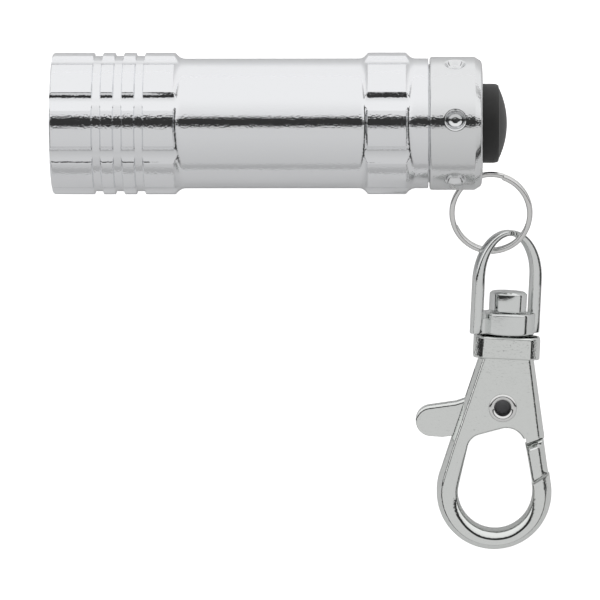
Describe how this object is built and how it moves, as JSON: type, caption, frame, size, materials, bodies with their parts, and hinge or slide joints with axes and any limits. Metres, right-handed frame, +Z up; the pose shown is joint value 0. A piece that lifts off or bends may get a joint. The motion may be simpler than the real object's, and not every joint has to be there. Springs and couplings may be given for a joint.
{
  "type": "keychain flashlight",
  "caption": "Small turned aluminium torch with a rubber push button in its tail cap, on a split ring and a swivel trigger snap.",
  "frame": {"origin": "on the torch's axis, at the middle of the smooth grip", "axes": "+X along the torch from the lens to the push button, +Z up from the surface it lies on, the snap hook lies towards -Y"},
  "size_m": [0.0635, 0.0634, 0.018],
  "materials": {
    "barrel_aluminium": "turned and satin anodised, clear",
    "cap_aluminium": "bead blasted, clear anodised",
    "black_aluminium": "black anodised",
    "lens_glass": "clear, flat",
    "black_rubber": "nitrile, smooth",
    "reflector_bright": "vacuum metallised",
    "led_yellow": "phosphor under a clear dome",
    "board_green": "solder mask on glass epoxy",
    "spring_steel": "drawn wire",
    "sleeve_plastic": "thin shrink tube",
    "cell_steel": "drawn can",
    "switch_plastic": "moulded nylon",
    "plunger_plastic": "moulded acetal",
    "brass": "turned",
    "button_rubber": "matt silicone",
    "ring_steel": "nickel plated spring steel",
    "snap_nickel": "zinc die casting, matt nickel plated",
    "rivet_steel": "bright nickel plated"
  },
  "bodies": {
    "barrel": {"barrel": "barrel_aluminium", "lens_retainer": "black_aluminium", "lens": "lens_glass", "lens_seal": "black_rubber", "reflector": "reflector_bright", "led": "led_yellow", "led_board": "board_green", "front_spring": "spring_steel", "battery_sleeve": "sleeve_plastic", "tail_seal": "black_rubber"},
    "cell_pack": {"cell_1": "cell_steel", "cell_2": "cell_steel", "cell_3": "cell_steel", "cell_4": "cell_steel"},
    "tail_cap": {"tail_cap": "cap_aluminium", "switch_housing": "switch_plastic", "switch_cover": "switch_plastic", "switch_retainer": "brass", "tail_contact": "brass", "tail_contact_spring": "spring_steel", "switch_spring": "spring_steel"},
    "button": {"button": "button_rubber", "switch_plunger": "plunger_plastic"},
    "split_ring": {"split_ring": "ring_steel"},
    "swivel_bail": {"swivel_bail": "snap_nickel"},
    "hook": {"swivel_stud": "snap_nickel", "hook_body": "snap_nickel", "gate_rivet": "rivet_steel"},
    "gate_lever": {"gate_lever": "snap_nickel", "gate_spring": "spring_steel"}
  },
  "joints": [
    {"name": "cell_pack_slide", "type": "slide", "parent": "barrel", "child": "cell_pack", "axis": [1, 0, 0], "range_m": [0, 0.0024], "deforming": ["front_spring"]},
    {"name": "tail_cap_turn", "type": "hinge", "parent": "cell_pack", "child": "tail_cap", "pos_m": [0.0213, 0, 0], "axis": [1, 0, 0], "range_deg": [0, 1080]},
    {"name": "button_press", "type": "slide", "parent": "tail_cap", "child": "button", "axis": [-1, 0, 0], "range_m": [0, 0.0011], "stiffness_N_per_m": 600, "springref_m": -0.001, "deforming": ["switch_spring"]},
    {"name": "ring_swing", "type": "hinge", "parent": "tail_cap", "child": "split_ring", "pos_m": [0.02526, -0.00735, -0.00107], "axis": [-0.8408, -0.5024, -0.2016], "range_deg": [-60, 60]},
    {"name": "bail_swing", "type": "hinge", "parent": "split_ring", "child": "swivel_bail", "pos_m": [0.02981, -0.01576, -0.0029], "axis": [0.9135, 0.3685, 0.1725], "range_deg": [-60, 60]},
    {"name": "hook_swivel", "type": "hinge", "parent": "swivel_bail", "child": "hook", "pos_m": [0.02985, -0.02681, -0.0043], "axis": [0.0469, 0.9948, 0.0906], "continuous": true},
    {"name": "gate_open", "type": "hinge", "parent": "hook", "child": "gate_lever", "pos_m": [0.02937, -0.03601, -0.00514], "axis": [0.0043, 0.0905, -0.9959], "range_deg": [0, 30], "stiffness_Nm_per_rad": 0.005, "springref_deg": -34.38, "deforming": ["gate_spring"]}
  ],
  "couplings": [
    {"joint": "cell_pack_slide", "follows": "tail_cap_turn", "m_per_rad": 0.00011937}
  ]
}
